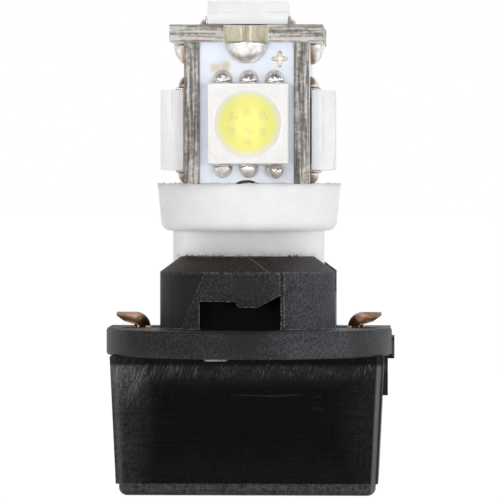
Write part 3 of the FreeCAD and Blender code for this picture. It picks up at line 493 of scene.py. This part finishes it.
ledLook = {
    "housing": (0.9, 0.885, 0.875), "housingShade": (0.85, 0.835, 0.82), "edge": 0.06,
    "parting": (0.42, 0.4, 0.38), "partingThick": (0.06, 0.015), "partingFacing": (0.5, 0.3),
    "yellow": (0.93, 0.9, 0.265), "rim": (0.97, 0.94, 0.26), "halo": (0.99, 0.985, 0.88),
    "radius": 2.02, "rimFrom": (1.2, 1.5),
    "haloStops": [(0.0, 0.0), (0.78, 0.0), (0.87, 0.25), (0.93, 0.55), (0.99, 1.0)],
    "chips": ((-0.95, 0.45), (0.95, 0.5), (0.0, 0.75), (-1.0, -0.45), (0.05, -0.4), (0.95, -0.5), (0.0, -1.2)),
    "chipShade": (0.74, 0.7, 0.27), "chipSize": (0.42, 0.18), "glow": 0.14,
}
acrossAndUp = {
    "front": ((1, 0, 0), (0, 0, 1)), "rear": ((-1, 0, 0), (0, 0, 1)), "right": ((0, 1, 0), (0, 0, 1)),
    "left": ((0, -1, 0), (0, 0, 1)), "top": ((0, -1, 0), (1, 0, 0)),
}


# white housing with a broken parting line round the middle of its thickness
def makeHousing(side):
    material, tree, shader = newMaterial(f"ledHousing_{side}", Specular_IOR_Level=0.45, Roughness=0.32)
    look, axis = ledLook, sideAxis[side]
    place = inMillimetres(tree)
    cloud = ramp(tree, grain(tree, place, 1.2, detail=3.0), [(0.4, 0.0), (0.75, 1.0)])
    colour = blendColours(tree, cloud, look["housing"], look["housingShade"])
    low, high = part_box(f"led_body_{side}")
    level = (low[axis] + high[axis]) / 2 / mm
    offLine = unsigned(tree, minus(tree, split(tree, place)[axis], level))
    line = times(tree, between(tree, offLine, *look["partingThick"]),
                 between(tree, facing(tree, axis), *look["partingFacing"]),
                 ramp(tree, grain(tree, place, 0.55, detail=4.0), [(0.44, 0.0), (0.62, 0.4)]))
    wire(tree, blendColours(tree, line, colour, look["parting"]), shader, "Base Color")
    wire(tree, bump(tree, grain(tree, place, 4.0), 0.08, 0.02), shader, "Normal")
    return material


# yellow filling with a paler rim and soft chip shades, laid out from this LED's own middle
def makeFilling(side):
    material, tree, shader = newMaterial(f"ledFilling_{side}", Roughness=0.35, Specular_IOR_Level=0.25)
    look = ledLook
    low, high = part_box(f"led_lens_{side}")
    middle = (low + high) / 2 / mm
    across, upward = (Vector(way) for way in acrossAndUp[side])
    out = across.cross(upward)
    surface = middle + out * abs((high - low).dot(out)) / 2 / mm
    place = inMillimetres(tree)
    away = distanceFrom(tree, place, middle)
    yellow = blendColours(tree, between(tree, away, *look["rimFrom"]), look["yellow"], look["rim"])
    fog = times(tree, minus(tree, grain(tree, place, 5.0, detail=4.0), 0.5), 1.2)
    chips = []
    for right, up in look["chips"]:
        gap = distanceFrom(tree, place, surface + across * right + upward * up)
        chips.append(between(tree, plus(tree, gap, fog), *look["chipSize"]))
    yellow = blendColours(tree, times(tree, largest(tree, *chips), 0.5), yellow, look["chipShade"])
    halo = ramp(tree, maths(tree, "DIVIDE", away, look["radius"]), look["haloStops"])
    colour = blendColours(tree, halo, yellow, look["halo"])
    wire(tree, colour, shader, "Base Color")
    # painted light: the filling glows faintly in its own colours through emission, though the LED is unlit
    wire(tree, colour, shader, "Emission Color")
    shader.inputs["Emission Strength"].default_value = look["glow"]
    wire(tree, addNode(tree, "CombineXYZ", {"X": out.x, "Y": out.y, "Z": out.z}).outputs[0], shader, "Normal")
    return material


# leads, wires, solder and the chip resistors' glaze

metalLook = {
    "tin": (0.62, 0.61, 0.6), "tinDark": (0.3, 0.28, 0.26), "tinEdge": 0.02,
    "solder": (0.95, 0.93, 0.91), "solderDark": (0.5, 0.46, 0.42), "flux": (0.36, 0.26, 0.17),
    "brownFoot": {0: 0.5, 1: 0.2, 2: 0.2},  # how far up from a board, in mm, by the board's axis
}
glazeLook = {"dark": (0.02, 0.02, 0.022), "pale": (0.05, 0.05, 0.055), "edge": 0.03}


def makeTin():
    material, tree, shader = newMaterial("tinnedMetal", Metallic=1.0)
    cloud = grain(tree, inMillimetres(tree), 2.5, detail=4.0)
    wire(tree, blendColours(tree, cloud, metalLook["tin"], metalLook["tinDark"]), shader, "Base Color")
    wire(tree, ramp(tree, cloud, [(0.3, 0.22), (0.7, 0.45)]), shader, "Roughness")
    return material


# bright solder; given a board's side, it gets a browned foot where it meets that board
def makeSolder(side=""):
    material, tree, shader = newMaterial(f"solder_{side}" if side else "solder", Metallic=1.0)
    look = metalLook
    place = inMillimetres(tree)
    cloud = grain(tree, place, 1.3, detail=3.0, roughness=0.5)
    dull = ramp(tree, cloud, [(0.42, 0.0), (0.7, 1.0)])
    colour = blendColours(tree, dull, look["solder"], look["solderDark"])
    stain = grain(tree, inMillimetres(tree, shift=(4.0, 1.0, 2.0)), 1.4, detail=3.0)
    stained = ramp(tree, stain, [(0.58, 0.0), (0.72, 0.55)])
    if side:
        axis = sideAxis[side]
        low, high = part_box(f"{side}_board")
        face = max(abs(low[axis]), abs(high[axis])) / mm
        height = minus(tree, unsigned(tree, split(tree, place)[axis]), face)
        uneven = plus(tree, height, times(tree, minus(tree, cloud, 0.5), 0.4))
        reach = look["brownFoot"][axis]
        stained = largest(tree, stained, between(tree, uneven, reach, reach * 0.2))
    wire(tree, blendColours(tree, stained, colour, look["flux"]), shader, "Base Color")
    wire(tree, ramp(tree, cloud, [(0.3, 0.22), (0.7, 0.4)]), shader, "Roughness")
    wire(tree, bump(tree, grain(tree, place, 1.6, detail=2.0), 0.5, 0.14), shader, "Normal")
    return material


def makeChipGlaze():
    material, tree, shader = newMaterial("chipGlaze", Roughness=0.3)
    cloud = grain(tree, inMillimetres(tree), 3.0)
    wire(tree, blendColours(tree, cloud, glazeLook["dark"], glazeLook["pale"]), shader, "Base Color")
    return material


dressHousing()
copper = makeCopper()
for side in ("left", "right"):
    dress(f"contact_spring_{side}", copper, copperStrip["edge"])
white = makeWhiteMoulding()
dress("bulb_base", white, whiteMoulding["edge"])
print("mouldings and springs dressed")

for side in sideAxis:
    spots = boardLook["fluxSpots"] if side == "front" else ()
    paler = boardLook["palerTop"] if side == "top" else 0.0
    dress(f"{side}_board", makeBoard(side, spots, paler), boardLook["edge"])
tin, solder, glaze = makeTin(), makeSolder(), makeChipGlaze()
for side in ("front", "right", "rear", "left", "top"):
    dress(f"led_body_{side}", makeHousing(side), ledLook["edge"])
    dress(f"led_lens_{side}", makeFilling(side))
    dress(f"led_leads_{side}", tin, metalLook["tinEdge"])
    solderHere = makeSolder(side)
    dress(f"led_solder_{side}", solderHere)
    dress(f"resistor_{side}", glaze, glazeLook["edge"])
    if side != "top":
        dress(f"solder_bridge_{side}", solderHere)
        dress(f"base_seam_{side}", solder)
for side in ("left", "right"):
    dress(f"lead_wire_{side}", tin)
    dress(f"wire_solder_{side}", solder)
print("boards and LEDs dressed")


# small pieces that the solids leave out, built in mm and scaled down as they are made

def newPiece(name, mesh, material, body, smooth=True):
    piece = bpy.data.objects.new(name, mesh)
    bpy.context.scene.collection.objects.link(piece)
    mesh.materials.append(material)
    for face in mesh.polygons:
        face.use_smooth = smooth
    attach(piece, body)


def meshFrom(name, build):
    shape = bmesh.new()
    build(shape)
    mesh = bpy.data.meshes.new(name)
    shape.to_mesh(mesh)
    shape.free()
    return mesh


# skins four-cornered rows of points into a bar
def skin(shape, rows, closed):
    for a, b in zip(rows, rows[1:] + rows[:1] if closed else rows[1:]):
        for k in range(4):
            shape.faces.new((a[k], a[(k + 1) % 4], b[(k + 1) % 4], b[k]))
    if not closed:
        shape.faces.new(rows[0])
        shape.faces.new(reversed(rows[-1]))
    bmesh.ops.recalc_face_normals(shape, faces=shape.faces)


plusMark = {
    "across": 2.03, "level": 26.9, "arm": 0.5, "thick": 0.14, "proud": 0.09, "squareness": 0.6, "wobble": 0.12,
    "silver": (0.74, 0.69, 0.62), "dark": (0.42, 0.37, 0.3),
}


def makeMarkSilver():
    material, tree, shader = newMaterial("markSilver", Metallic=1.0, Roughness=0.45)
    cloud = ramp(tree, grain(tree, inMillimetres(tree), 5.0, detail=3.0), [(0.4, 0.0), (0.62, 1.0)])
    wire(tree, blendColours(tree, cloud, plusMark["silver"], plusMark["dark"]), shader, "Base Color")
    return material


# a small tinned cross on the front board, upper right
def addPlusMark():
    look = plusMark
    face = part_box("front_board")[0].y

    def build(shape):
        for across, up in ((look["arm"], look["thick"]), (look["thick"], look["arm"])):
            bar = bmesh.ops.create_uvsphere(shape, u_segments=24, v_segments=12, radius=1.0)["verts"]
            for vert in bar:
                squared = [math.copysign(abs(c) ** look["squareness"], c) for c in vert.co]
                rough = noise.noise(Vector(squared) * 2.3 + Vector((across * 9, 0, 0)))
                size = 1.0 + look["wobble"] * rough
                vert.co = Vector((squared[0] * across * size, squared[1] * look["proud"], squared[2] * up * size)) * mm
        bmesh.ops.translate(shape, verts=shape.verts, vec=(look["across"] * mm, face, look["level"] * mm))

    newPiece("plus_mark", meshFrom("plus_mark", build), makeMarkSilver(), "bulb")


solderBall = {
    "place": (1.84, -4.34, 20.04), "radius": 0.42, "drip": 0.1, "lumps": 0.08,
    "scorched": (0.62, 0.54, 0.49), "brown": (0.36, 0.26, 0.17),
}


def makeScorchedSolder():
    material, tree, shader = newMaterial("scorchedSolder", Metallic=1.0, Roughness=0.22)
    cloud = ramp(tree, grain(tree, inMillimetres(tree), 2.2), [(0.45, 0.0), (0.65, 0.4)])
    wire(tree, blendColours(tree, cloud, solderBall["scorched"], solderBall["brown"]), shader, "Base Color")
    return material


# a scorched ball of solder on the front LED's lower right pad
def addSolderBall():
    look = solderBall

    def build(shape):
        for vert in bmesh.ops.create_uvsphere(shape, u_segments=32, v_segments=20, radius=1.0)["verts"]:
            lump = 1.0 + look["lumps"] * noise.noise(vert.co * 1.3)
            sag = look["drip"] * max(0.0, -vert.co.z) ** 2
            vert.co = (Vector(look["place"]) + vert.co * look["radius"] * lump - Vector((0.0, 0.0, sag))) * mm

    newPiece("solder_ball", meshFrom("solder_ball", build), makeScorchedSolder(), "bulb")


holeLining = {
    "radius": 1.38, "thick": 0.05, "steps": 28, "resin": (0.5, 0.46, 0.31), "resinPale": (0.72, 0.7, 0.56),
    "highlightEnd": (1.05, 1.2),
}


def makeLiningResin():
    material, tree, shader = newMaterial("liningResin", Specular_IOR_Level=0.5, Coat_Weight=0.3, Coat_Roughness=0.2)
    look = holeLining
    place = inMillimetres(tree, stretch=(1.0, 1.0, 0.5))
    cloud = grain(tree, place, 1.6, detail=4.0)
    # pale patches from the grain, and a painted highlight towards the right end of the front lining
    bright = largest(tree, ramp(tree, cloud, [(0.4, 0.0), (0.68, 1.0)]),
                     between(tree, split(tree, place)[0], *look["highlightEnd"]))
    wire(tree, blendColours(tree, bright, look["resin"], look["resinPale"]), shader, "Base Color")
    wire(tree, ramp(tree, cloud, [(0.3, 0.15), (0.7, 0.4)]), shader, "Roughness")
    wire(tree, bump(tree, grain(tree, place, 2.5), 0.3, 0.06), shader, "Normal")
    return material


# the glazed lining of the four half-holes in the top board's sides
def addHoleLinings():
    look = holeLining
    resin = makeLiningResin()
    low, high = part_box("top_board")
    edge = Vector((high.x, 0, 0))
    outerRadius = look["radius"] * mm
    innerRadius = outerRadius - look["thick"] * mm
    for index, side in enumerate(("right", "rear", "left", "front")):
        turn = Matrix.Rotation(math.radians(90 * index), 4, "Z")

        def build(shape):
            rows = []
            for step in range(look["steps"] + 1):
                angle = math.pi * step / look["steps"]
                rim = Vector((-math.sin(angle), math.cos(angle), 0))
                corners = ((innerRadius, low.z), (innerRadius, high.z), (outerRadius, high.z), (outerRadius, low.z))
                rows.append([shape.verts.new(turn @ (edge + rim * r + Vector((0, 0, z)))) for r, z in corners])
            skin(shape, rows, closed=False)

        newPiece(f"hole_lining_{side}", meshFrom(f"hole_lining_{side}", build), resin, "bulb", smooth=False)


rimCrumbs = {
    "radius": (4.8, 4.9), "level": 14.72, "size": (0.035, 0.075), "lumps": 0.35, "seed": 11,
    "spans": ((-3.9, -1.4, 34), (-0.5, 0.9, 8), (2.2, 3.4, 4)),  # from, to and how many
    "pileMiddle": -2.4, "pileHalf": 0.25, "pileTall": 1.6, "tall": 0.3,
    "dark": (0.05, 0.036, 0.027), "brown": (0.15, 0.115, 0.085),
}


def makeCrumbBrown():
    material, tree, shader = newMaterial("crumbBrown", Roughness=0.8, Specular_IOR_Level=0.2)
    cloud = ramp(tree, grain(tree, inMillimetres(tree), 6.0), [(0.4, 0.0), (0.6, 1.0)])
    wire(tree, blendColours(tree, cloud, rimCrumbs["dark"], rimCrumbs["brown"]), shader, "Base Color")
    return material


# scraped crumbs on the front of the neck's rim, left by pushing the bulb in
def addRimCrumbs():
    look = rimCrumbs
    draw = random.Random(look["seed"])

    def build(shape):
        for low, high, count in look["spans"]:
            for _ in range(count):
                x = draw.uniform(low, high)
                radius = draw.uniform(*look["radius"])
                size = draw.uniform(*look["size"])
                inPile = abs(x - look["pileMiddle"]) < look["pileHalf"]
                tall = 1.0 + (look["pileTall"] if inPile else look["tall"]) * draw.random()
                place = Vector((x, -math.sqrt(radius ** 2 - x ** 2), look["level"] + size * tall * 0.6))
                for vert in bmesh.ops.create_icosphere(shape, subdivisions=1, radius=1.0)["verts"]:
                    lump = 1.0 + look["lumps"] * noise.noise(vert.co * 1.7 + place * 3.0)
                    vert.co = (place + Vector((vert.co.x, vert.co.y * 0.8, vert.co.z * tall)) * size * lump) * mm

    newPiece("rim_crumbs", meshFrom("rim_crumbs", build), makeCrumbBrown(), "holder", smooth=False)


collarFlash = {"radius": 5.7, "level": 19.2, "wide": 0.07, "tall": 0.13, "root": -0.05, "steps": 420}


# the ragged moulding flash on the collar's top rim
def addCollarFlash():
    look = collarFlash

    def build(shape):
        rings = []
        for step in range(look["steps"]):
            angle = 2 * math.pi * step / look["steps"]
            out = Vector((math.cos(angle), math.sin(angle), 0))
            rough = noise.noise(out * 9.0) + 0.8 * noise.noise(out * 31.0) + 0.5 * noise.noise(out * 77.0)
            tall = look["tall"] * min(1.0, max(0.08, 0.35 + 0.9 * rough))
            points = ((0.0, look["root"]), (-0.01, tall * 0.7), (-look["wide"] * 0.5, tall), (-look["wide"], look["root"]))
            rings.append([shape.verts.new((out * (look["radius"] + r) + Vector((0, 0, look["level"] + z))) * mm)
                          for r, z in points])
        skin(shape, rings, closed=True)

    newPiece("collar_flash", meshFrom("collar_flash", build), white, "bulb")


addPlusMark()
addSolderBall()
addHoleLinings()
addRimCrumbs()
addCollarFlash()
print("small pieces added")


# floor, light and camera, in metres and watts

studio = {
    "floorHalf": 3.0, "paper": (0.9, 0.9, 0.9, 1.0), "white": (1.0, 1.0, 1.0, 1.0),
    "floorGlow": 1.11, "floorSeen": 0.86,
    "around": 0.3, "behindCamera": 0.02, "behindPart": 1.0, "lean": 0.1,
    "cameraSide": (-0.35, -0.75), "partSide": (0.05, 0.6), "high": (0.1, 0.5), "tint": (-0.8, 0.8),
    "warm": (1.0, 0.975, 0.95), "cool": (0.95, 0.97, 1.0), "plain": (1.0, 1.0, 1.0), "lampAim": (0.0, 0.0, 0.015),
    "lamps": (  # name, place, power, size and colour
        ("leftLamp", (-0.25, -0.25, 0.06), 0.22, 0.16, "warm"),
        ("rightLamp", (0.3, -0.2, 0.06), 0.25, 0.16, "cool"),
        ("lowLeftLamp", (-0.13, -0.33, 0.022), 0.245, 0.08, "plain"),
        ("lowRightLamp", (0.15, -0.32, 0.022), 0.245, 0.08, "plain"),
        ("sideLamp", (0.34, 0.02, 0.05), 0.22, 0.16, "cool"),
        ("frontLamp", (0.0, -0.32, 0.17), 0.175, 0.12, "plain"),
        ("topLamp", (0.0, 0.08, 0.35), 0.16, 0.2, "plain"),
    ),
}
view = {
    "distance": 0.25, "azimuth": 2.4, "eyeHeight": 0.0186, "aimAcross": 0.00005, "aimUp": 0.0151,
    "frameWidth": 0.03119, "sensor": 36.0, "clip": (0.01, 10.0),
}


# 1 for what the camera sees, straight or by way of a mirror or glass; where limits the second kind
def seenRays(tree, where=1.0):
    rays = addNode(tree, "LightPath").outputs
    bounced = largest(tree, rays["Is Glossy Ray"], rays["Is Transmission Ray"])
    return largest(tree, rays["Is Camera Ray"], times(tree, bounced, where))


def makeFloor():
    size = studio["floorHalf"]
    mesh = bpy.data.meshes.new("floor")
    mesh.from_pydata([(-size, -size, 0), (size, -size, 0), (size, size, 0), (-size, size, 0)], [], [(0, 1, 2, 3)])
    floor = bpy.data.objects.new("floor", mesh)
    bpy.context.scene.collection.objects.link(floor)
    material = bpy.data.materials.new("floorPaper")
    material.use_nodes = True
    tree = material.node_tree
    tree.nodes.clear()
    paper = addNode(tree, "BsdfDiffuse", {"Color": studio["paper"]})
    glow = addNode(tree, "Emission", {"Color": studio["white"], "Strength": studio["floorGlow"]})
    seen = times(tree, seenRays(tree), studio["floorSeen"])
    mix = addNode(tree, "MixShader", {0: seen, 1: paper.outputs[0], 2: glow.outputs[0]})
    tree.links.new(mix.outputs[0], addNode(tree, "OutputMaterial").inputs[0])
    mesh.materials.append(material)


# dim behind the camera, so that the black front stays black, and bright high up behind the part
def makeWorld():
    world = bpy.data.worlds.new("studio")
    bpy.context.scene.world = world
    world.use_nodes = True
    tree = world.node_tree
    tree.nodes.clear()
    across, deep, up = split(tree, addNode(tree, "TexCoord").outputs["Generated"])
    onCameraSide = between(tree, deep, *studio["cameraSide"])
    onPartSide = between(tree, deep, *studio["partSide"])
    level = slope(tree, onCameraSide, 0.0, 1.0, studio["around"], studio["behindCamera"])
    level = times(tree, level, plus(tree, 1.0, times(tree, across, studio["lean"])))
    highBehind = times(tree, onPartSide, between(tree, up, *studio["high"]))
    level = plus(tree, level, times(tree, highBehind, studio["behindPart"] - studio["around"]))
    seen = seenRays(tree, onPartSide)
    colour = blendColours(tree, between(tree, across, *studio["tint"]), studio["warm"], studio["cool"])
    colour = blendColours(tree, seen, colour, studio["plain"])
    glow = addNode(tree, "Background", {"Color": colour, "Strength": largest(tree, level, seen)})
    tree.links.new(glow.outputs[0], addNode(tree, "OutputWorld").inputs[0])


def addLamp(name, place, power, size, colour):
    data = bpy.data.lights.new(name, "AREA")
    data.shape = "DISK"
    data.size = size
    data.energy = power
    data.color = colour
    lamp = bpy.data.objects.new(name, data)
    lamp.location = place
    lamp.rotation_euler = (Vector(studio["lampAim"]) - Vector(place)).to_track_quat("-Z", "Y").to_euler()
    bpy.context.scene.collection.objects.link(lamp)


def makeCamera():
    far, turn = view["distance"], math.radians(view["azimuth"])
    data = bpy.data.cameras.new("camera")
    data.sensor_width = view["sensor"]
    data.lens = view["sensor"] * far / view["frameWidth"]
    data.clip_start, data.clip_end = view["clip"]
    camera = bpy.data.objects.new("camera", data)
    camera.location = (math.sin(turn) * far, -math.cos(turn) * far, view["eyeHeight"])
    across = Vector((math.cos(turn), math.sin(turn), 0))
    aim = across * view["aimAcross"] + Vector((0, 0, view["aimUp"]))
    camera.rotation_euler = (aim - camera.location).to_track_quat("-Z", "Y").to_euler()
    bpy.context.scene.collection.objects.link(camera)
    bpy.context.scene.camera = camera


makeFloor()
makeWorld()
for name, place, power, size, colour in studio["lamps"]:
    addLamp(name, place, power, size, studio[colour])
makeCamera()
bpy.context.scene.view_settings.view_transform = "Standard"
print("studio ready")
